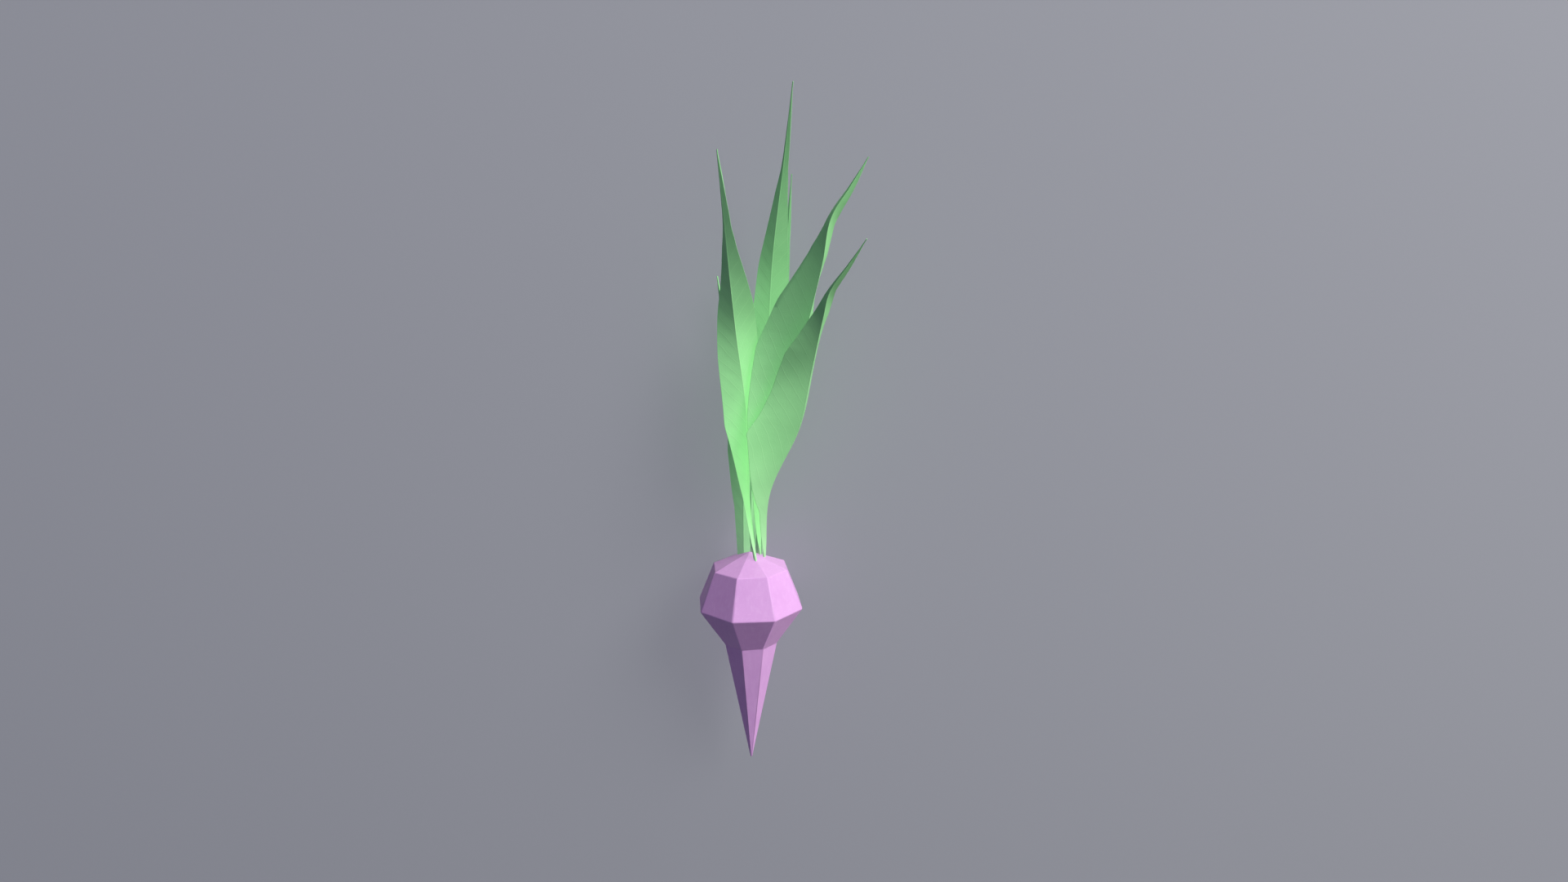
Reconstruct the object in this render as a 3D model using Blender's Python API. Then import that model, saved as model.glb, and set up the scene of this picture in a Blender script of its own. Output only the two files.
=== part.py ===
# A radish as pulled, lying on its side: one faceted root and six folded leaves.
# The root's axis runs along Y: the taproot points to -Y and the leaves to +Y.
# Z is up. The origin is on the small flat spot that the bulb rests on, under its widest ring.
# Lengths below are in millimetres and angles in degrees.

import math

import bmesh
import bpy
import numpy as np
from mathutils import Matrix, Vector

MM = 0.001

# Root: octagonal rings, each a corner radius and a place along the axis from the widest ring
SIDES = 8
APEX_PLACE = 18.8
CROWN_RING = (13.4, 13.6)
WIDEST_RING = (19.0, 0.0)
LOWER_RING = (9.75, -13.6)
TIP_RING = (0.45, -58.8)
APEX_RADIUS = 0.3
FLAT_DEPTH = 0.5

# Rounding of the root's edges: a percentage of the facets along the axis, a width on the rings
LONG_EDGE_PERCENT = 4.0
RING_EDGE_WIDTH = 0.4
EDGE_SEGMENTS = 2
SHORTEST_LONG_EDGE = 1.0
SAME_RING = 0.01
ROOT_SHARP_ANGLE = 12

# The widest ring lies on one of its sides, which the flat spot cuts back a little
APOTHEM = math.cos(math.pi / SIDES)
AXIS_HEIGHT = WIDEST_RING[0] * APOTHEM - FLAT_DEPTH

# Leaf form, shared by all. Stations are shares of the length from base to tip, and the rows
# under them are shares of the leaf's own blade width and stalk width. The blade first opens at
# the shoulder, where each leaf has its own share. The turn stations are those at which a leaf's
# own turn and fold are given, and over the base taper the stalk narrows to where it sits.
# At the lopsided stations a leaf's own lopsidedness is given, up to that of its tip.
STATIONS = (0.0, 0.17, 0.36, 0.52, 0.64, 0.83, 1.0)
BLADE_SHARE = (0.0, 0.13, 1.0, 0.80, 0.64, 0.15, 0.0)
STALK_SHARE = (1.0, 1.0, 0.0, 0.0, 0.0, 0.0, 0.0)
SHOULDER = 2
OUTLINE_ROUNDING = 0.02
TURN_STATIONS = (0.0, 0.25, 0.5, 0.7, 0.85, 1.0)
TURN_ROUNDING = 0.06
TANGENT_STEP = 0.01
BASE_TAPER = 0.05
LOPSIDED_STATIONS = (0.62, 0.78, 0.86)

# Blade: thickness, the rib under the keel, and how far each half bulges, as a share of its width
BLADE_THICKNESS = 0.7
TIP_HALF_WIDTH = 0.35
RIB_DEPTH = 0.6
RIB_HALF_WIDTH = 1.5
HALF_CAMBER = 0.012
ROWS_ALONG = 30
CELLS_ACROSS = 4
LEAF_SHARP_ANGLE = 35
SEAT_GAP = 0.48

# Each leaf: where its midrib starts on the crown (X, height over the axis), the points that
# the midrib passes (X, Y, height over the axis), the half widths of blade and stalk, the
# shoulder's share, the share of the stalk left at the base, how much wider the right half is
# than the left one at the lopsided stations, and at the turn stations the way the keel faces,
# from up towards +X, and how far each half folds back from it
LEAVES = {
    "leaf_front_left": {
        "seat": (2.1, 4.2),
        "midrib": ((-0.8, 40.0, 4.8), (-1.4, 70.2, 7.1), (-4.5, 94.7, 9.7),
                   (-8.5, 132.5, 17.0), (-10.4, 152.1, 21.3)),
        "blade": 9.6, "shoulder": 0.93, "stalk": 1.5, "base": 0.4, "lopsided": (0.1, 0.25, 0.7),
        "facing": (75, 54, 22, -26, -38, -34), "fold": (10, 17, 21, 19, 10, 8)},
    "leaf_middle": {
        "seat": (0.75, -2.2),
        "midrib": ((1.3, 42.0, -6.6), (6.3, 80.0, -6.9), (8.5, 120.0, -3.5),
                   (11.2, 147.9, 3.5), (13.2, 172.4, 13.2)),
        "blade": 7.5, "shoulder": 0.88, "stalk": 1.4, "base": 0.75, "lopsided": (0.07, 0.2, 0.6),
        "facing": (-58, 28, 3, -18, -20, -27), "fold": (20, 12, 4, 16, 14, 13)},
    "leaf_right": {
        "seat": (3.9, -1.4),
        "midrib": ((3.8, 42.0, 4.6), (10.9, 70.0, 8.3), (17.8, 97.0, 12.0),
                   (22.3, 119.0, 17.2), (24.5, 132.8, 20.8), (29.6, 141.4, 23.1),
                   (34.6, 150.0, 25.4)),
        "blade": 16.4, "shoulder": 0.64, "stalk": 1.3, "base": 0.4, "lopsided": (-0.1, 0.0, 0.5),
        "facing": (72, 49, 25, 30, 0, -35), "fold": (8, 18, 39, 56, 46, 20)},
    "leaf_front_right": {
        "seat": (5.4, -0.5),
        "midrib": ((6.5, 42.0, 7.8), (16.0, 65.4, 11.2), (19.3, 84.0, 14.8),
                   (21.8, 101.6, 22.3), (23.1, 110.3, 27.7), (27.7, 118.3, 32.6),
                   (32.3, 126.3, 37.6)),
        "blade": 10.6, "shoulder": 1.15, "stalk": 1.2, "base": 0.4, "lopsided": (-0.35, 0.2, 0.4),
        "facing": (65, 55, 36, 30, -20, -20), "fold": (8, 27, 40, 43, 48, 28)},
    "leaf_back_left": {
        "seat": (-1.9, -3.9),
        "midrib": ((-1.4, 38.0, -10.6), (-0.7, 56.0, -11.7), (-5.1, 78.0, -12.4),
                   (-9.7, 112.5, -10.8)),
        "blade": 7.9, "shoulder": 0.84, "stalk": 2.4, "base": 1.0, "lopsided": (-0.1, 0.0, 0.0),
        "facing": (-25, -24, -27, -39, -50, -50), "fold": (12, 10, 10, 10, 10, 10)},
    "leaf_back_middle": {
        "seat": (3.2, -5.6),
        "midrib": ((4.9, 45.0, -12.7), (7.6, 70.0, -14.1), (10.0, 98.0, -14.3),
                   (14.1, 125.0, -12.7), (15.3, 145.7, -9.1)),
        "blade": 7.3, "shoulder": 1.0, "stalk": 1.8, "base": 1.0, "lopsided": (0.0, 0.0, 0.0),
        "facing": (-60, -4, -8, -17, -20, -14), "fold": (12, 11, 10, 10, 10, 10)},
}


def clear_scene():
    for item in list(bpy.data.objects):
        bpy.data.objects.remove(item, do_unlink=True)


def make_material(name, color, roughness):
    material = bpy.data.materials.new(name)
    material.use_nodes = True
    shader = material.node_tree.nodes["Principled BSDF"]
    shader.inputs["Base Color"].default_value = (*color, 1.0)
    shader.inputs["Roughness"].default_value = roughness
    shader.inputs["Metallic"].default_value = 0.0
    material.diffuse_color = (*color, 1.0)
    return material


def add_object(name, bm, material, sharp_angle):
    mesh = bpy.data.meshes.new(name)
    bm.to_mesh(mesh)
    bm.free()
    mesh.materials.append(material)
    mesh.shade_smooth()
    mesh.set_sharp_from_angle(angle=math.radians(sharp_angle))
    item = bpy.data.objects.new(name, mesh)
    bpy.context.scene.collection.objects.link(item)
    return item


# Root

def add_ring(bm, radius, place):
    # A ring across the axis, with one side of the octagon facing straight up
    turn = Matrix.Rotation(math.pi / 2, 4, "X") @ Matrix.Rotation(math.pi / SIDES, 4, "Z")
    move = Matrix.Translation((0.0, place * MM, AXIS_HEIGHT * MM))
    made = bmesh.ops.create_circle(bm, segments=SIDES, radius=radius * MM, matrix=move @ turn)
    return made["verts"]


def ring_edges(verts):
    ring = set(verts)
    return [e for e in {e for v in verts for e in v.link_edges} if set(e.verts) <= ring]


def is_along_axis(edge):
    low, high = sorted(v.co.y for v in edge.verts)
    return high - low > SHORTEST_LONG_EDGE * MM


def lies_on_ring(edge, place):
    return all(abs(v.co.y - place * MM) < SAME_RING * MM for v in edge.verts)


def make_root(material):
    bm = bmesh.new()
    profile = ((APEX_RADIUS, APEX_PLACE), CROWN_RING, WIDEST_RING, LOWER_RING, TIP_RING)
    rings = [add_ring(bm, radius, place) for radius, place in profile]
    for upper, lower in zip(rings, rings[1:]):
        bmesh.ops.bridge_loops(bm, edges=ring_edges(upper) + ring_edges(lower))
    for end in (rings[0], rings[-1]):
        bmesh.ops.edgeloop_fill(bm, edges=ring_edges(end))

    # Long edges between the facets are eased in proportion, so that they fade out at the tip
    long_edges = [e for e in bm.edges if is_along_axis(e)]
    bmesh.ops.bevel(bm, geom=long_edges, offset=LONG_EDGE_PERCENT, offset_type="PERCENT",
                    segments=EDGE_SEGMENTS, profile=0.5, affect="EDGES", material=-1)
    for place in (CROWN_RING[1], WIDEST_RING[1], LOWER_RING[1]):
        around = [e for e in bm.edges if lies_on_ring(e, place)]
        bmesh.ops.bevel(bm, geom=around, offset=RING_EDGE_WIDTH * MM, offset_type="OFFSET",
                        segments=EDGE_SEGMENTS, profile=0.5, affect="EDGES", material=-1)

    everything = bm.verts[:] + bm.edges[:] + bm.faces[:]
    cut = bmesh.ops.bisect_plane(bm, geom=everything, plane_co=Vector(), plane_no=(0, 0, -1),
                                 clear_outer=True)
    rim = [e for e in cut["geom_cut"] if isinstance(e, bmesh.types.BMEdge)]
    bmesh.ops.edgeloop_fill(bm, edges=rim)
    bmesh.ops.recalc_face_normals(bm, faces=bm.faces)
    bmesh.ops.triangulate(bm, faces=bm.faces)
    return add_object("root", bm, material, ROOT_SHARP_ANGLE)


# Leaves

def crown_place(x, height):
    # Y of the crown's facets over a point of the cross-section
    reach = max(x * math.sin(a) + height * math.cos(a)
                for a in (2 * math.pi * k / SIDES for k in range(SIDES)))
    slope = (APEX_PLACE - CROWN_RING[1]) / (CROWN_RING[0] * APOTHEM)
    return APEX_PLACE - slope * reach


def eased(share, stations, values, rounding):
    # Straight runs between the stations, with each corner rounded a little
    reach = min(rounding, share, 1.0 - share)
    spread = [np.interp(share + k * reach, stations, values) for k in (-1, -0.5, 0, 0.5, 1)]
    return float(np.mean(spread))


def smooth_route(points):
    # A curve through the points, as a function of the share of its length
    points = np.array(points)
    steps = np.linalg.norm(np.diff(points, axis=0), axis=1)
    knots = np.concatenate(([0.0], np.cumsum(steps)))
    slopes = np.diff(points, axis=0) / steps[:, None]
    inner = [(slopes[i] * steps[i + 1] + slopes[i + 1] * steps[i]) / (steps[i] + steps[i + 1])
             for i in range(len(steps) - 1)]
    tangents = np.array([slopes[0], *inner, slopes[-1]])

    def at(share):
        length = share * knots[-1]
        i = min(int(np.searchsorted(knots, length, side="right")) - 1, len(steps) - 1)
        i = max(i, 0)
        u = (length - knots[i]) / steps[i]
        start = (1 + 2 * u) * (1 - u) ** 2 * points[i] + u * (1 - u) ** 2 * steps[i] * tangents[i]
        end = (u * u * (3 - 2 * u) * points[i + 1]
               - u * u * (1 - u) * steps[i] * tangents[i + 1])
        return Vector(start + end)

    return at


def leaf_section(leaf, route, share):
    # The midrib point, the frame across it, the half widths left and right, and the fold there
    ahead = route(min(share + TANGENT_STEP, 1.0))
    behind = route(max(share - TANGENT_STEP, 0.0))
    along = (ahead - behind).normalized()
    turn = math.radians(eased(share, TURN_STATIONS, leaf["facing"], TURN_ROUNDING))
    fold = math.radians(eased(share, TURN_STATIONS, leaf["fold"], TURN_ROUNDING))
    side = along.cross(Vector((math.sin(turn), 0.0, math.cos(turn)))).normalized()
    keel = side.cross(along)
    outline = [leaf["shoulder"] if i == SHOULDER else w for i, w in enumerate(BLADE_SHARE)]
    stalk = leaf["stalk"] * eased(share, STATIONS, STALK_SHARE, OUTLINE_ROUNDING)
    narrowing = float(np.interp(share, (0.0, BASE_TAPER), (leaf["base"], 1.0)))
    width = leaf["blade"] * eased(share, STATIONS, outline, OUTLINE_ROUNDING) + stalk * narrowing
    lopsided = float(np.interp(share, LOPSIDED_STATIONS, leaf["lopsided"]))
    left, right = (max(width * (1 + hand * lopsided), TIP_HALF_WIDTH) for hand in (-1, 1))
    return route(share), side, keel, left, right, fold


def leaf_point(section, across, inner):
    # A point of the folded blade; across runs from -1 at one margin to 1 at the other
    midrib, side, keel, left, right, fold = section
    hand = math.copysign(1.0, across)
    width = right if across > 0 else left
    out = abs(across)
    half = hand * math.cos(fold) * side - math.sin(fold) * keel
    bulge = 4 * HALF_CAMBER * out * (1 - out) * width
    point = midrib + out * width * half + bulge * keel
    if inner:
        rib = RIB_DEPTH * max(0.0, 1 - out * width / RIB_HALF_WIDTH)
        point -= (BLADE_THICKNESS / math.cos(fold) + rib) * keel
    return point


def make_leaf(name, leaf, material):
    x, height = leaf["seat"]
    seat = (x, crown_place(x, height) + SEAT_GAP, height)
    route = smooth_route((seat, *leaf["midrib"]))

    # A flat grid split alike on both faces, thickened to a slab, then laid on the leaf's form
    bm = bmesh.new()
    bmesh.ops.create_grid(bm, x_segments=CELLS_ACROSS, y_segments=ROWS_ALONG, size=1.0)
    bmesh.ops.triangulate(bm, faces=bm.faces, quad_method="FIXED")
    made = bmesh.ops.extrude_face_region(bm, geom=bm.faces[:])
    inner = {v for v in made["geom"] if isinstance(v, bmesh.types.BMVert)}
    sections = {}
    for v in bm.verts:
        across, share = v.co.x, (v.co.y + 1) / 2
        key = round(share * ROWS_ALONG)
        if key not in sections:
            sections[key] = leaf_section(leaf, route, key / ROWS_ALONG)
        point = leaf_point(sections[key], across, v in inner)
        if key == 0:
            point.y = crown_place(point.x, point.z) + SEAT_GAP
        v.co = (point + Vector((0.0, 0.0, AXIS_HEIGHT))) * MM
    bmesh.ops.recalc_face_normals(bm, faces=bm.faces)
    bmesh.ops.triangulate(bm, faces=[f for f in bm.faces if len(f.verts) > 3])
    return add_object(name, bm, material, LEAF_SHARP_ANGLE)


def main():
    clear_scene()
    skin = make_material("radish_skin", (0.66, 0.37, 0.71), 0.45)
    green = make_material("leaf_green", (0.35, 0.70, 0.37), 0.5)
    make_root(skin)
    for name, leaf in LEAVES.items():
        make_leaf(name, leaf, green)


main()
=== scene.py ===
import math

import bmesh
import bpy
import numpy as np
from mathutils import Matrix, Vector


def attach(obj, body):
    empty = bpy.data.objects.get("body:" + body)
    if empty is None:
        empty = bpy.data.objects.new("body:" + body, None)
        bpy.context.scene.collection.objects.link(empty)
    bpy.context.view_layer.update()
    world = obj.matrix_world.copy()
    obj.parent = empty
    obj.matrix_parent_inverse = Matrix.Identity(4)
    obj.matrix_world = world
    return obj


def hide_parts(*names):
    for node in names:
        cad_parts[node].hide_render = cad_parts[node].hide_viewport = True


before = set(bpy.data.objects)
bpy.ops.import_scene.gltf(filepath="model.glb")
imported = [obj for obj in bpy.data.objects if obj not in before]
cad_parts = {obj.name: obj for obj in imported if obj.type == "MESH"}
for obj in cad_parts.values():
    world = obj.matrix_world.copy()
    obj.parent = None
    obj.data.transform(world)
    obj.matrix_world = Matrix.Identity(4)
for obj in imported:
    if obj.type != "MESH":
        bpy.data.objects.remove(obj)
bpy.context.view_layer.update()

# A radish laid on a pale studio floor: one faceted root and six folded leaves.
# The root's axis runs along Y and the leaves point to +Y. Sizes are in millimetres
# and angles in degrees, and mm turns them into Blender's metres.

mm = 0.001
body = "root"


def linearColor(hexCode):
    # sRGB hex to the linear values that the shader sockets hold
    parts = [int(hexCode[i:i + 2], 16) / 255 for i in (1, 3, 5)]
    return [p / 12.92 if p <= 0.04045 else ((p + 0.055) / 1.055) ** 2.4 for p in parts] + [1.0]


def perMm(size):
    # texture scale that makes a feature of this size on Object coordinates in metres
    return 1.0 / (size * mm)


def addNode(tree, kind, settings=None, inputs=None):
    node = tree.nodes.new(kind)
    for name, value in (settings or {}).items():
        setattr(node, name, value)
    for key, value in (inputs or {}).items():
        if isinstance(value, bpy.types.NodeSocket):
            tree.links.new(value, node.inputs[key])
        else:
            node.inputs[key].default_value = value
    return node.outputs


def newMaterial(name):
    material = bpy.data.materials.new(name)
    material.use_nodes = True
    tree = material.node_tree
    return material, tree, tree.nodes["Principled BSDF"]


def addPiece(name, bm, material, nodeName):
    mesh = bpy.data.meshes.new(name)
    bm.to_mesh(mesh)
    bm.free()
    mesh.materials.append(material)
    mesh.shade_smooth()
    piece = bpy.data.objects.new(name, mesh)
    bpy.context.scene.collection.objects.link(piece)
    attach(piece, body)
    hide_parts(nodeName)
    return piece


# Materials

skin = {
    "base": "#DAA5DB",
    "deep": "#D49FD6",
    "pale": "#E5BAE6",
    "patchSize": 9.0,
    "patchRange": (0.35, 0.7),  # noise values between which base turns to deep
    "streakWidth": 0.9,
    "streakSquash": 0.08,  # pattern scale along the root, so streaks run along it
    "streakRange": (0.5, 0.75),
    "streakStrength": 0.25,
    "dashWidth": 1.5,
    "dashSquash": 5.0,  # pattern scale along the root, so dashes run round it
    "dashRange": (0.66, 0.74),
    "dashStrength": 0.35,
    "poreSize": 0.35,
    "dashRise": 1.2,  # heights of the dashes and the broad unevenness, in pore depths
    "swell": 4.0,
    "bump": 0.25,
    "poreDepth": 0.06,
    "glossRange": (0.3, 0.7),
    "roughness": (0.41, 0.53),
    "ior": 1.4,
    "specular": 0.35,
}


def makeSkin():
    # radish skin: a thin living skin, washed and left to dry, so it is smooth and faintly waxy,
    # with soft patches of colour, fine streaks along the root and short pale dashes round it
    material, tree, shader = newMaterial("radishSkin")
    place = addNode(tree, "ShaderNodeTexCoord")["Object"]
    (patchLow, patchHigh), (streakLow, streakHigh) = skin["patchRange"], skin["streakRange"]
    (dashLow, dashHigh), (glossLow, glossHigh) = skin["dashRange"], skin["glossRange"]
    patches = addNode(tree, "ShaderNodeTexNoise", None,
                      {"Vector": place, "Scale": perMm(skin["patchSize"]), "Detail": 3.0})[0]
    patchShare = addNode(tree, "ShaderNodeMapRange", None,
                         {"Value": patches, "From Min": patchLow, "From Max": patchHigh})[0]
    color = addNode(tree, "ShaderNodeMix", {"data_type": "RGBA"},
                    {0: patchShare, 6: linearColor(skin["base"]), 7: linearColor(skin["deep"])})[2]

    lengthwise = addNode(tree, "ShaderNodeMapping", None,
                         {"Vector": place, "Scale": (1.0, skin["streakSquash"], 1.0)})[0]
    streaks = addNode(tree, "ShaderNodeTexNoise", None,
                      {"Vector": lengthwise, "Scale": perMm(skin["streakWidth"]), "Detail": 2.0})[0]
    streakShare = addNode(tree, "ShaderNodeMapRange", None,
                          {"Value": streaks, "From Min": streakLow, "From Max": streakHigh,
                           "To Max": skin["streakStrength"]})[0]
    color = addNode(tree, "ShaderNodeMix", {"data_type": "RGBA"},
                    {0: streakShare, 6: color, 7: linearColor(skin["pale"])})[2]

    around = addNode(tree, "ShaderNodeMapping", None,
                     {"Vector": place, "Scale": (1.0, skin["dashSquash"], 1.0)})[0]
    dashes = addNode(tree, "ShaderNodeTexNoise", None,
                     {"Vector": around, "Scale": perMm(skin["dashWidth"]), "Detail": 1.0})[0]
    dashShare = addNode(tree, "ShaderNodeMapRange", None,
                        {"Value": dashes, "From Min": dashLow, "From Max": dashHigh,
                         "To Max": skin["dashStrength"]})[0]
    color = addNode(tree, "ShaderNodeMix", {"data_type": "RGBA"},
                    {0: dashShare, 6: color, 7: linearColor(skin["pale"])})[2]
    tree.links.new(color, shader.inputs["Base Color"])

    pores = addNode(tree, "ShaderNodeTexNoise", None,
                    {"Vector": place, "Scale": perMm(skin["poreSize"]), "Detail": 2.0})[0]
    relief = addNode(tree, "ShaderNodeMath", {"operation": "MULTIPLY_ADD"},
                     {0: dashShare, 1: skin["dashRise"], 2: pores})[0]
    relief = addNode(tree, "ShaderNodeMath", {"operation": "MULTIPLY_ADD"},
                     {0: patches, 1: skin["swell"], 2: relief})[0]
    bump = addNode(tree, "ShaderNodeBump", None,
                   {"Height": relief, "Strength": skin["bump"],
                    "Distance": skin["poreDepth"] * mm})[0]
    tree.links.new(bump, shader.inputs["Normal"])
    gloss = addNode(tree, "ShaderNodeMapRange", None,
                    {"Value": patches, "From Min": glossLow, "From Max": glossHigh,
                     "To Min": skin["roughness"][0], "To Max": skin["roughness"][1]})[0]
    tree.links.new(gloss, shader.inputs["Roughness"])
    shader.inputs["IOR"].default_value = skin["ior"]
    shader.inputs["Specular IOR Level"].default_value = skin["specular"]
    return material


blade = {
    "base": "#99DF95",
    "deep": "#91D68E",
    "vein": "#AAE8A1",
    # the stalk colour: partly the stalk's own pale green, partly painted light on the lower leaf
    "stalk": "#BAF6B4",
    "paleAndLitLength": 40.0,
    "paleAndLitStrength": 0.7,
    "patchSize": 14.0,
    "patchRange": (0.35, 0.7),  # noise values between which base turns to deep
    "waverSize": 6.0,
    "waver": 2.0,  # how far the side veins wander along the leaf
    "veinSpacing": 5.0,
    "veinRise": 1.25,  # how far a side vein runs along the leaf for each millimetre across it
    "veinHalfWidth": 0.28,
    "veinStrength": 0.5,
    "midribHalfWidth": 0.35,
    "midribStrength": 0.8,
    "veinFade": (1.0, 4.0),  # half widths of the leaf between which the veins' colour comes in
    "veinShare": 0.5,
    "cellSize": 0.45,
    "veinHeight": 1.5,  # in cell depths
    "bump": 0.3,
    "cellDepth": 0.08,
    "glossRange": (0.3, 0.7),
    "roughness": (0.47, 0.59),
    "ior": 1.4,
    "specular": 0.3,
}


def makeBlade():
    # fresh leaf blade: a soft green sheet with a thin dull wax, paler along the midrib and the
    # side veins that leave it at a slant, and paler still towards its stalk, partly the stalk's own
    # pale green and partly painted light that makes the lower leaf look brightly lit; the map holds
    # millimetres across and along the leaf
    material, tree, shader = newMaterial("leafBlade")
    place = addNode(tree, "ShaderNodeTexCoord")["Object"]
    flat = addNode(tree, "ShaderNodeUVMap", {"uv_map": "leafMap"})[0]
    across, along, _ = addNode(tree, "ShaderNodeSeparateXYZ", None, {0: flat})
    out = addNode(tree, "ShaderNodeMath", {"operation": "ABSOLUTE"}, {0: across})[0]

    (patchLow, patchHigh), (fadeLow, fadeHigh) = blade["patchRange"], blade["veinFade"]
    glossLow, glossHigh = blade["glossRange"]
    waver = addNode(tree, "ShaderNodeTexNoise", None,
                    {"Vector": place, "Scale": perMm(blade["waverSize"]), "Detail": 1.0})[0]
    shifted = addNode(tree, "ShaderNodeMath", {"operation": "MULTIPLY_ADD"},
                      {0: waver, 1: blade["waver"], 2: along})[0]
    behind = addNode(tree, "ShaderNodeMath", {"operation": "MULTIPLY"},
                     {0: out, 1: blade["veinRise"]})[0]
    started = addNode(tree, "ShaderNodeMath", {"operation": "SUBTRACT"},
                      {0: shifted, 1: behind})[0]
    toVein = addNode(tree, "ShaderNodeMath", {"operation": "PINGPONG"},
                     {0: started, 1: blade["veinSpacing"] / 2})[0]
    sideVein = addNode(tree, "ShaderNodeMapRange", {"interpolation_type": "SMOOTHSTEP"},
                       {"Value": toVein, "From Min": 0.0, "From Max": blade["veinHalfWidth"],
                        "To Min": blade["veinStrength"], "To Max": 0.0})[0]
    midrib = addNode(tree, "ShaderNodeMapRange", {"interpolation_type": "SMOOTHSTEP"},
                     {"Value": out, "From Min": 0.0, "From Max": blade["midribHalfWidth"],
                      "To Min": blade["midribStrength"], "To Max": 0.0})[0]
    veins = addNode(tree, "ShaderNodeMath", {"operation": "MAXIMUM"}, {0: sideVein, 1: midrib})[0]

    patches = addNode(tree, "ShaderNodeTexNoise", None,
                      {"Vector": place, "Scale": perMm(blade["patchSize"]), "Detail": 3.0})[0]
    patchShare = addNode(tree, "ShaderNodeMapRange", None,
                         {"Value": patches, "From Min": patchLow, "From Max": patchHigh})[0]
    color = addNode(tree, "ShaderNodeMix", {"data_type": "RGBA"},
                    {0: patchShare, 6: linearColor(blade["base"]),
                     7: linearColor(blade["deep"])})[2]
    # paler over the first millimetres from the base: partly the stalk's own pale colour, partly
    # painted light that brightens the lower leaf
    paleStalkAndPaintedLightShare = addNode(tree, "ShaderNodeMapRange", None,
                         {"Value": along, "From Min": 0.0, "From Max": blade["paleAndLitLength"],
                          "To Min": blade["paleAndLitStrength"], "To Max": 0.0})[0]
    color = addNode(tree, "ShaderNodeMix", {"data_type": "RGBA"},
                    {0: paleStalkAndPaintedLightShare, 6: color, 7: linearColor(blade["stalk"])})[2]
    halfWidth = addNode(tree, "ShaderNodeAttribute", {"attribute_name": "halfWidth"})["Fac"]
    veinShare = addNode(tree, "ShaderNodeMapRange", None,
                        {"Value": halfWidth, "From Min": fadeLow, "From Max": fadeHigh,
                         "To Max": blade["veinShare"]})[0]
    veinShare = addNode(tree, "ShaderNodeMath", {"operation": "MULTIPLY"},
                        {0: veins, 1: veinShare})[0]
    color = addNode(tree, "ShaderNodeMix", {"data_type": "RGBA"},
                    {0: veinShare, 6: color, 7: linearColor(blade["vein"])})[2]
    tree.links.new(color, shader.inputs["Base Color"])

    cells = addNode(tree, "ShaderNodeTexNoise", None,
                    {"Vector": place, "Scale": perMm(blade["cellSize"]), "Detail": 2.0})[0]
    relief = addNode(tree, "ShaderNodeMath", {"operation": "MULTIPLY_ADD"},
                     {0: veins, 1: blade["veinHeight"], 2: cells})[0]
    bump = addNode(tree, "ShaderNodeBump", None,
                   {"Height": relief, "Strength": blade["bump"],
                    "Distance": blade["cellDepth"] * mm})[0]
    tree.links.new(bump, shader.inputs["Normal"])
    gloss = addNode(tree, "ShaderNodeMapRange", None,
                    {"Value": patches, "From Min": glossLow, "From Max": glossHigh,
                     "To Min": blade["roughness"][0], "To Max": blade["roughness"][1]})[0]
    tree.links.new(gloss, shader.inputs["Roughness"])
    shader.inputs["IOR"].default_value = blade["ior"]
    shader.inputs["Specular IOR Level"].default_value = blade["specular"]
    return material


# Root

root = {
    "sides": 8,
    # corner radius and Y of each ring, from the crown's tip to the end of the taproot
    "rings": ((0.3, 18.8), (13.4, 13.6), (19.0, 0.0), (9.75, -13.6), (0.3, -58.8)),
    "flatDepth": 0.5,  # the lowest side is cut back this much, where the bulb rests
    "longEdge": 3.0,  # rounding of the edges along the root, in percent, so it fades at the tip
    "ringEdge": 0.3,
    "edgeSegments": 3,
    "holdLoop": 0.08,  # a loop this close to each edge keeps the facets flat
    "facetArea": 20.0,  # faces larger than this are facets
    "sameRing": 0.01,  # vertices this close along the axis are on one ring
    "longEdgeReach": 1.0,  # edges that reach further than this along the axis run along the root
}
apothem = math.cos(math.pi / root["sides"])  # share of the corner radius at mid side
axisHeight = root["rings"][2][0] * apothem - root["flatDepth"]


def addRing(bm, radius, place):
    # an octagon across the axis, with one side straight up
    turn = Matrix.Rotation(math.pi / 2, 4, "X") @ Matrix.Rotation(math.pi / root["sides"], 4, "Z")
    move = Matrix.Translation((0.0, place * mm, axisHeight * mm))
    return bmesh.ops.create_circle(bm, segments=root["sides"], radius=radius * mm,
                                   matrix=move @ turn)["verts"]


def edgesAmong(bm, verts):
    # in the mesh's own order, so that every run makes the same faces
    ring = set(verts)
    return [e for e in bm.edges if set(e.verts) <= ring]


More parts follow.
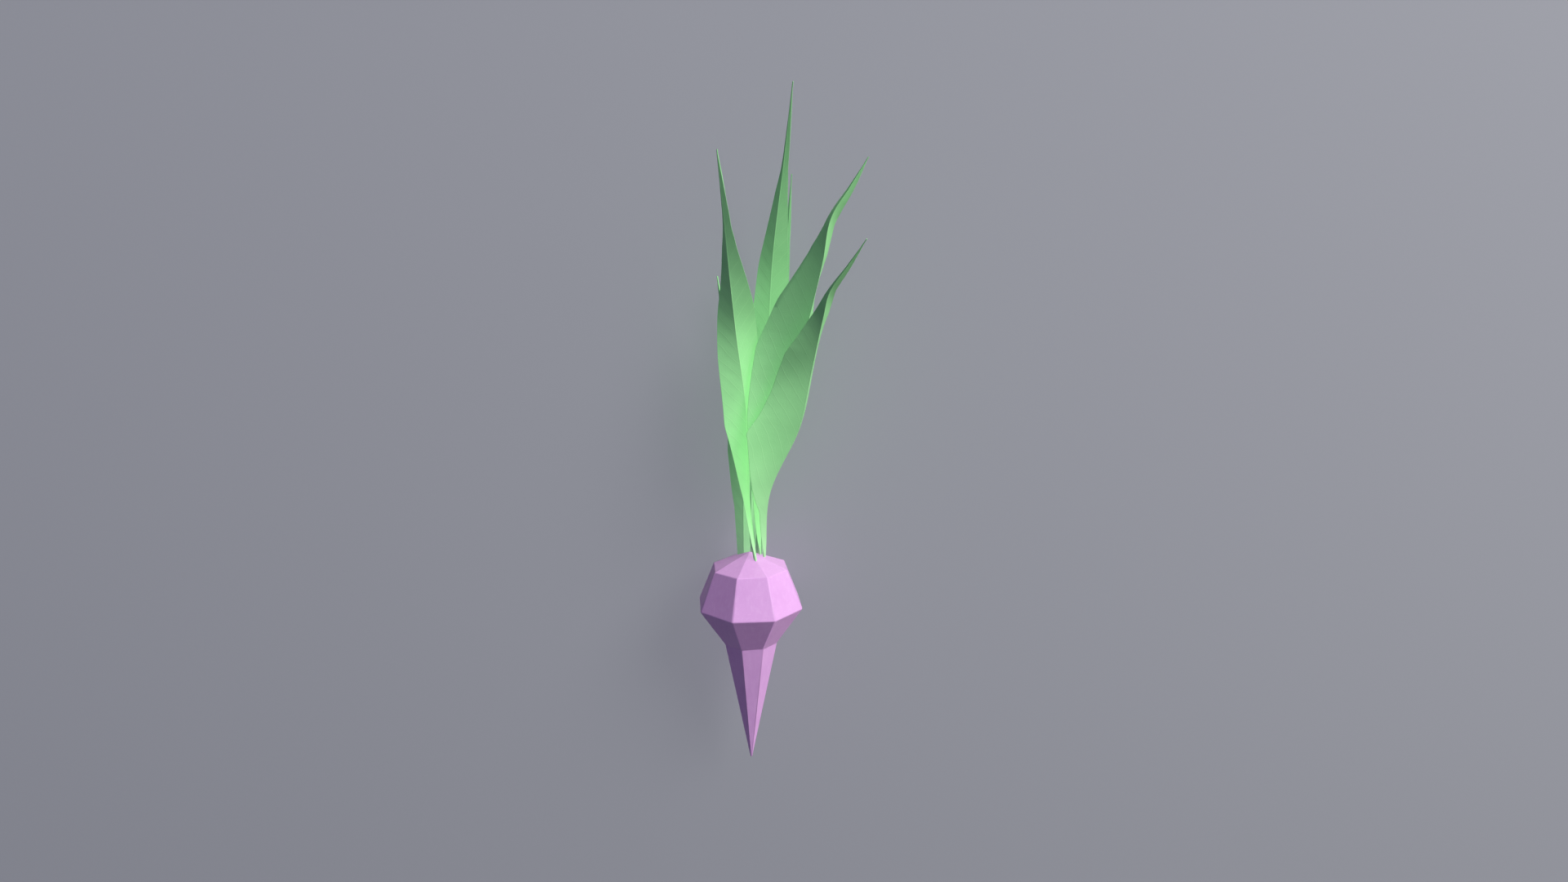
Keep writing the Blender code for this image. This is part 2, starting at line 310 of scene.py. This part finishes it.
def makeRoot(material):
    bm = bmesh.new()
    rings = [addRing(bm, radius, place) for radius, place in root["rings"]]
    for upper, lower in zip(rings, rings[1:]):
        bmesh.ops.bridge_loops(bm, edges=edgesAmong(bm, upper) + edgesAmong(bm, lower))
    for end in (rings[0], rings[-1]):
        bmesh.ops.edgeloop_fill(bm, edges=edgesAmong(bm, end))

    # rounded edges: first those along the root, then the three rings round it
    longEdges = [e for e in bm.edges
                 if abs(e.verts[0].co.y - e.verts[1].co.y) > root["longEdgeReach"] * mm]
    bmesh.ops.bevel(bm, geom=longEdges, offset=root["longEdge"], offset_type="PERCENT",
                    segments=root["edgeSegments"], profile=0.5, affect="EDGES", material=-1)
    for _, place in root["rings"][1:4]:
        around = [e for e in bm.edges
                  if all(abs(v.co.y - place * mm) < root["sameRing"] * mm for v in e.verts)]
        bmesh.ops.bevel(bm, geom=around, offset=root["ringEdge"] * mm, offset_type="OFFSET",
                        segments=root["edgeSegments"], profile=0.5, affect="EDGES", material=-1)

    # the small flat spot, then a loop inside each facet
    cut = bmesh.ops.bisect_plane(bm, geom=bm.verts[:] + bm.edges[:] + bm.faces[:],
                                 plane_co=Vector(), plane_no=(0, 0, -1), clear_outer=True)
    rim = [e for e in cut["geom_cut"] if isinstance(e, bmesh.types.BMEdge)]
    bmesh.ops.edgeloop_fill(bm, edges=rim)
    bmesh.ops.recalc_face_normals(bm, faces=bm.faces)
    facets = [f for f in bm.faces if f.calc_area() > root["facetArea"] * mm * mm]
    bmesh.ops.inset_individual(bm, faces=facets, thickness=root["holdLoop"] * mm)
    return addPiece("rootSkin", bm, material, "root")


# Leaves

leafForm = {
    # shares of the length from base to tip, and at each the shares of the leaf's own widths
    "stations": (0.0, 0.17, 0.36, 0.52, 0.64, 0.83, 1.0),
    "blade": (0.0, 0.13, 1.0, 0.80, 0.64, 0.15, 0.0),
    "stalk": (1.0, 1.0, 0.0, 0.0, 0.0, 0.0, 0.0),
    "shoulder": 2,  # the station where the blade first opens, with a share of its own
    "turnStations": (0.0, 0.25, 0.5, 0.7, 0.85, 1.0),  # where facing and fold are given
    "lopsidedStations": (0.62, 0.78, 0.86),  # where a leaf's own lopsidedness is given
    "outlineRounding": 0.01,
    "turnRounding": 0.06,
    "tangentStep": 0.01,
    "tipHalfWidth": 0.16,
    "baseTaper": 0.05,  # share of the length over which the stalk narrows to its base
    "seatBlend": 0.04,  # share of the length over which the base bends to the crown's slope
    "midThickness": 0.55,
    "marginThickness": 0.08,
    "tipThickness": 0.2,  # the most that the thickness goes past the half width at the tip
    "ribDepth": 0.6,
    "ribHalfWidth": 1.5,
    "camber": 0.012,
    "sharpAngle": 40,  # edges sharper than this stay crisp, as the midrib does
    "quilting": 0.05,  # how far the blade swells between its side veins
    "quiltedWidth": 4.0,  # halves narrower than this swell less
    "rows": 220,
    "cells": 16,
    "sunk": 0.4,  # how far the base goes into the crown
}
# each leaf: where its midrib starts on the crown (X, height over the axis), the points that it
# passes (X, Y, height over the axis), the half widths of blade and stalk, the shoulder's share,
# the share of the stalk left at the base, how much the right half is wider and the left one
# narrower than their mean, the way the keel faces from up towards +X, and how far each half
# folds back from it
leaves = {
    "leafFrontLeft": {
        "node": "leaf_front_left", "seat": (2.1, 4.2),
        "midrib": ((-0.8, 40.0, 4.8), (-1.4, 70.2, 7.1), (-4.5, 94.7, 9.7),
                   (-8.5, 132.5, 17.0), (-10.4, 152.1, 21.3)),
        "blade": 9.6, "shoulder": 0.93, "stalk": 1.5, "base": 0.4, "lopsided": (0.1, 0.25, 0.7),
        "facing": (75, 54, 22, -26, -38, -34), "fold": (10, 17, 21, 19, 10, 8)},
    "leafMiddle": {
        "node": "leaf_middle", "seat": (0.75, -2.2),
        "midrib": ((1.3, 42.0, -6.6), (6.3, 80.0, -6.9), (8.5, 120.0, -3.5),
                   (11.2, 147.9, 3.5), (13.2, 172.4, 13.2)),
        "blade": 7.5, "shoulder": 0.88, "stalk": 1.4, "base": 0.75, "lopsided": (0.07, 0.2, 0.6),
        "facing": (-58, 28, 3, -18, -20, -27), "fold": (20, 12, 4, 16, 14, 13)},
    "leafRight": {
        "node": "leaf_right", "seat": (3.9, -1.4),
        "midrib": ((3.8, 42.0, 4.6), (10.9, 70.0, 8.3), (17.8, 97.0, 12.0),
                   (22.3, 119.0, 17.2), (24.5, 132.8, 20.8), (29.6, 141.4, 23.1),
                   (34.6, 150.0, 25.4)),
        "blade": 16.4, "shoulder": 0.64, "stalk": 1.3, "base": 0.4, "lopsided": (-0.1, 0.0, 0.5),
        "facing": (72, 49, 25, 30, 0, -35), "fold": (8, 18, 39, 56, 46, 20)},
    "leafFrontRight": {
        "node": "leaf_front_right", "seat": (5.4, -0.5),
        "midrib": ((6.5, 42.0, 7.8), (16.0, 65.4, 11.2), (19.3, 84.0, 14.8),
                   (21.8, 101.6, 22.3), (23.1, 110.3, 27.7), (27.7, 118.3, 32.6),
                   (32.3, 126.3, 37.6)),
        "blade": 10.6, "shoulder": 1.15, "stalk": 1.2, "base": 0.4, "lopsided": (-0.35, 0.2, 0.4),
        "facing": (65, 55, 36, 30, -20, -20), "fold": (8, 27, 40, 43, 48, 28)},
    "leafBackLeft": {
        "node": "leaf_back_left", "seat": (-1.9, -3.9),
        "midrib": ((-1.4, 38.0, -10.6), (-0.7, 56.0, -11.7), (-5.1, 78.0, -12.4),
                   (-9.7, 112.5, -10.8)),
        "blade": 7.9, "shoulder": 0.84, "stalk": 2.4, "base": 1.0, "lopsided": (-0.1, 0.0, 0.0),
        "facing": (-25, -24, -27, -39, -50, -50), "fold": (12, 10, 10, 10, 10, 10)},
    "leafBackMiddle": {
        "node": "leaf_back_middle", "seat": (3.2, -5.6),
        "midrib": ((4.9, 45.0, -12.7), (7.6, 70.0, -14.1), (10.0, 98.0, -14.3),
                   (14.1, 125.0, -12.7), (15.3, 145.7, -9.1)),
        "blade": 7.3, "shoulder": 1.0, "stalk": 1.8, "base": 1.0, "lopsided": (0.0, 0.0, 0.0),
        "facing": (-60, -4, -8, -17, -20, -14), "fold": (12, 11, 10, 10, 10, 10)},
}


def crownPlace(x, height):
    # Y of the crown's facets over a point of the cross-section
    (_, apexPlace), (crownRadius, crownRing) = root["rings"][:2]
    reach = max(x * math.sin(a) + height * math.cos(a)
                for a in (2 * math.pi * k / root["sides"] for k in range(root["sides"])))
    return apexPlace - reach * (apexPlace - crownRing) / (crownRadius * apothem)


def eased(share, stations, values, rounding):
    # straight runs between the stations, with each corner rounded a little
    reach = min(leafForm[rounding], share, 1.0 - share)
    spread = [np.interp(share + k * reach, leafForm[stations], values)
              for k in (-1, -0.5, 0, 0.5, 1)]
    return float(np.mean(spread))


def smoothRoute(points):
    # a curve through the points, as a function of the share of its length
    points = np.array(points)
    steps = np.linalg.norm(np.diff(points, axis=0), axis=1)
    knots = np.concatenate(([0.0], np.cumsum(steps)))
    slopes = np.diff(points, axis=0) / steps[:, None]
    inner = [(slopes[i] * steps[i + 1] + slopes[i + 1] * steps[i]) / (steps[i] + steps[i + 1])
             for i in range(len(steps) - 1)]
    tangents = np.array([slopes[0], *inner, slopes[-1]])

    def at(share):
        length = share * knots[-1]
        i = min(int(np.searchsorted(knots, length, side="right")) - 1, len(steps) - 1)
        i = max(i, 0)
        u = (length - knots[i]) / steps[i]
        start = (1 + 2 * u) * (1 - u) ** 2 * points[i] + u * (1 - u) ** 2 * steps[i] * tangents[i]
        end = (u * u * (3 - 2 * u) * points[i + 1]
               - u * u * (1 - u) * steps[i] * tangents[i + 1])
        return Vector(start + end)

    return at, knots[-1]


def leafSection(leaf, route, share):
    # the midrib point there, the frame across it, the half widths left and right, and the fold
    step = leafForm["tangentStep"]
    along = (route(min(share + step, 1.0)) - route(max(share - step, 0.0))).normalized()
    turn = math.radians(eased(share, "turnStations", leaf["facing"], "turnRounding"))
    fold = math.radians(eased(share, "turnStations", leaf["fold"], "turnRounding"))
    side = along.cross(Vector((math.sin(turn), 0.0, math.cos(turn)))).normalized()
    outline = list(leafForm["blade"])
    outline[leafForm["shoulder"]] = leaf["shoulder"]
    narrowing = float(np.interp(share, (0.0, leafForm["baseTaper"]), (leaf["base"], 1.0)))
    stalk = leaf["stalk"] * eased(share, "stations", leafForm["stalk"], "outlineRounding")
    width = (leaf["blade"] * eased(share, "stations", outline, "outlineRounding")
             + stalk * narrowing)
    lopsided = float(np.interp(share, leafForm["lopsidedStations"], leaf["lopsided"]))
    halves = [max(width * (1 + hand * lopsided), leafForm["tipHalfWidth"]) for hand in (-1, 1)]
    return route(share), side, side.cross(along), halves, fold


def leafPoint(section, across, along, inner):
    # a point of the folded blade; across runs from -1 at one margin to 1 at the other
    midrib, side, keel, halves, fold = section
    hand = math.copysign(1.0, across)
    width = halves[hand > 0]
    out = abs(across)
    half = hand * math.cos(fold) * side - math.sin(fold) * keel
    fromVein = (along - blade["veinRise"] * out * width) / blade["veinSpacing"]
    swell = abs(math.sin(math.pi * fromVein)) * leafForm["quilting"]
    swell *= min(1.0, width / leafForm["quiltedWidth"])
    bulge = 4 * out * (1 - out) * (leafForm["camber"] * width - swell)
    point = midrib + out * width * half + bulge * keel
    if inner:
        thickness = float(np.interp(out, (0.0, 1.0), (leafForm["midThickness"],
                                                      leafForm["marginThickness"])))
        thickness = min(thickness, leafForm["tipThickness"] + width)
        rib = leafForm["ribDepth"] * max(0.0, 1 - out * width / leafForm["ribHalfWidth"])
        point -= (thickness / math.cos(fold) + rib * min(1.0, width)) * keel
    return point


def makeLeaf(name, leaf, material):
    x, height = leaf["seat"]
    seat = (x, crownPlace(x, height) - leafForm["sunk"], height)
    route, length = smoothRoute((seat, *leaf["midrib"]))

    # a flat grid with its map, thickened to a slab and then laid on the leaf's form; the layers
    # come first, because making one later would lose which vertices are on the underside
    rows = leafForm["rows"]
    bm = bmesh.new()
    halfWidth = bm.verts.layers.float.new("halfWidth")
    leafMap = bm.loops.layers.uv.new("leafMap")
    bmesh.ops.create_grid(bm, x_segments=leafForm["cells"], y_segments=rows, size=1.0)
    halfCell = 0.5 / leafForm["cells"]
    creases = [e for e in bm.edges if all(abs(v.co.x) < halfCell for v in e.verts)]
    made = bmesh.ops.extrude_face_region(bm, geom=bm.faces[:])
    inner = {v for v in made["geom"] if isinstance(v, bmesh.types.BMVert)}
    sections = [leafSection(leaf, route, row / rows) for row in range(rows + 1)]
    spot = {}
    for v in bm.verts:
        across, share = v.co.x, (v.co.y + 1) / 2
        section = sections[round(share * rows)]
        point = leafPoint(section, across, length * share, v in inner)
        foot = leafPoint(sections[0], across, 0.0, v in inner)
        toCrown = crownPlace(foot.x, foot.z) - leafForm["sunk"] - foot.y
        point.y += toCrown * max(0.0, 1 - share / leafForm["seatBlend"])
        v[halfWidth] = section[3][across > 0]
        spot[v] = (across * v[halfWidth], length * share)
        v.co = (point + Vector((0.0, 0.0, axisHeight))) * mm
    for face in bm.faces:
        for loop in face.loops:
            loop[leafMap].uv = spot[loop.vert]
    bmesh.ops.recalc_face_normals(bm, faces=bm.faces)
    for edge in bm.edges:
        edge.smooth = edge.calc_face_angle() < math.radians(leafForm["sharpAngle"])
    for edge in creases:
        edge.smooth = False
    return addPiece(name, bm, material, leaf["node"])


# Studio

floor = {"color": "#9D9EA3", "halfSize": 2500.0, "drop": 0.02, "grain": 1.2,
         "bump": 0.1, "grainDepth": 0.05, "roughness": 0.9, "specular": 0.1}
camera = {"place": (-23.1, 137.9, 366.6), "tilt": -12.84, "swing": -5.71, "lens": 24.43,
          "sensor": 36.0, "clip": (10, 20000)}
# soft boxes: the main one at the upper right, most of its light without shadow as a very wide
# box gives, and a faint cool one at the upper left
boxes = {
    "openLight": {"towards": (0.608, 0.601, 0.518), "power": 73.0, "color": "#FFFFFF",
                  "shadow": False},
    "shadowLight": {"towards": (0.608, 0.601, 0.518), "power": 18.0, "color": "#FFFFFF",
                    "shadow": True},
    "coolLight": {"towards": (-0.45, 0.15, 0.88), "power": 7.0, "color": "#97A0F8",
                  "shadow": False},
}
boxTarget = (5.0, 55.0, 17.0)
boxDistance = 2500
boxSize = 1500
sky = {"color": "#E6E9EE", "strength": 0.12}


def makeFloor():
    # painted board: rolled matt emulsion, pale grey, with a grain almost too fine to see
    material, tree, shader = newMaterial("paintedBoard")
    place = addNode(tree, "ShaderNodeTexCoord")["Object"]
    grain = addNode(tree, "ShaderNodeTexNoise", None,
                    {"Vector": place, "Scale": perMm(floor["grain"]), "Detail": 2.0})[0]
    bump = addNode(tree, "ShaderNodeBump", None,
                   {"Height": grain, "Strength": floor["bump"],
                    "Distance": floor["grainDepth"] * mm})[0]
    tree.links.new(bump, shader.inputs["Normal"])
    shader.inputs["Base Color"].default_value = linearColor(floor["color"])
    shader.inputs["Roughness"].default_value = floor["roughness"]
    shader.inputs["Specular IOR Level"].default_value = floor["specular"]

    bm = bmesh.new()
    bmesh.ops.create_grid(bm, x_segments=1, y_segments=1, size=floor["halfSize"] * mm,
                          matrix=Matrix.Translation((0.0, 0.0, -floor["drop"] * mm)))
    mesh = bpy.data.meshes.new("studioFloor")
    bm.to_mesh(mesh)
    bm.free()
    mesh.materials.append(material)
    board = bpy.data.objects.new("studioFloor", mesh)
    bpy.context.scene.collection.objects.link(board)


def makeLights():
    for name, light in boxes.items():
        data = bpy.data.lights.new(name, "AREA")
        data.shape = "DISK"
        data.size = boxSize * mm
        data.energy = light["power"]
        data.color = linearColor(light["color"])[:3]
        data.use_shadow = light["shadow"]
        box = bpy.data.objects.new(name, data)
        towards = Vector(light["towards"]).normalized()
        box.location = (Vector(boxTarget) + towards * boxDistance) * mm
        box.rotation_euler = towards.to_track_quat("Z", "Y").to_euler()
        bpy.context.scene.collection.objects.link(box)
    world = bpy.data.worlds.new("studioSky")
    world.use_nodes = True
    background = world.node_tree.nodes["Background"]
    background.inputs["Color"].default_value = linearColor(sky["color"])
    background.inputs["Strength"].default_value = sky["strength"]
    bpy.context.scene.world = world


def makeCamera():
    data = bpy.data.cameras.new("photoCamera")
    data.sensor_width = camera["sensor"]
    data.lens = camera["lens"]
    data.clip_start, data.clip_end = (distance * mm for distance in camera["clip"])
    eye = bpy.data.objects.new("photoCamera", data)
    eye.location = Vector(camera["place"]) * mm
    eye.rotation_euler = (math.radians(camera["tilt"]), math.radians(camera["swing"]), 0.0)
    bpy.context.scene.collection.objects.link(eye)
    bpy.context.scene.camera = eye


makeRoot(makeSkin())
print("root made")
bladeMaterial = makeBlade()
for leafName, leaf in leaves.items():
    makeLeaf(leafName, leaf, bladeMaterial)
    print(leafName, "made")
makeFloor()
makeLights()
makeCamera()
bpy.context.scene.view_settings.view_transform = "Standard"
print("studio made")
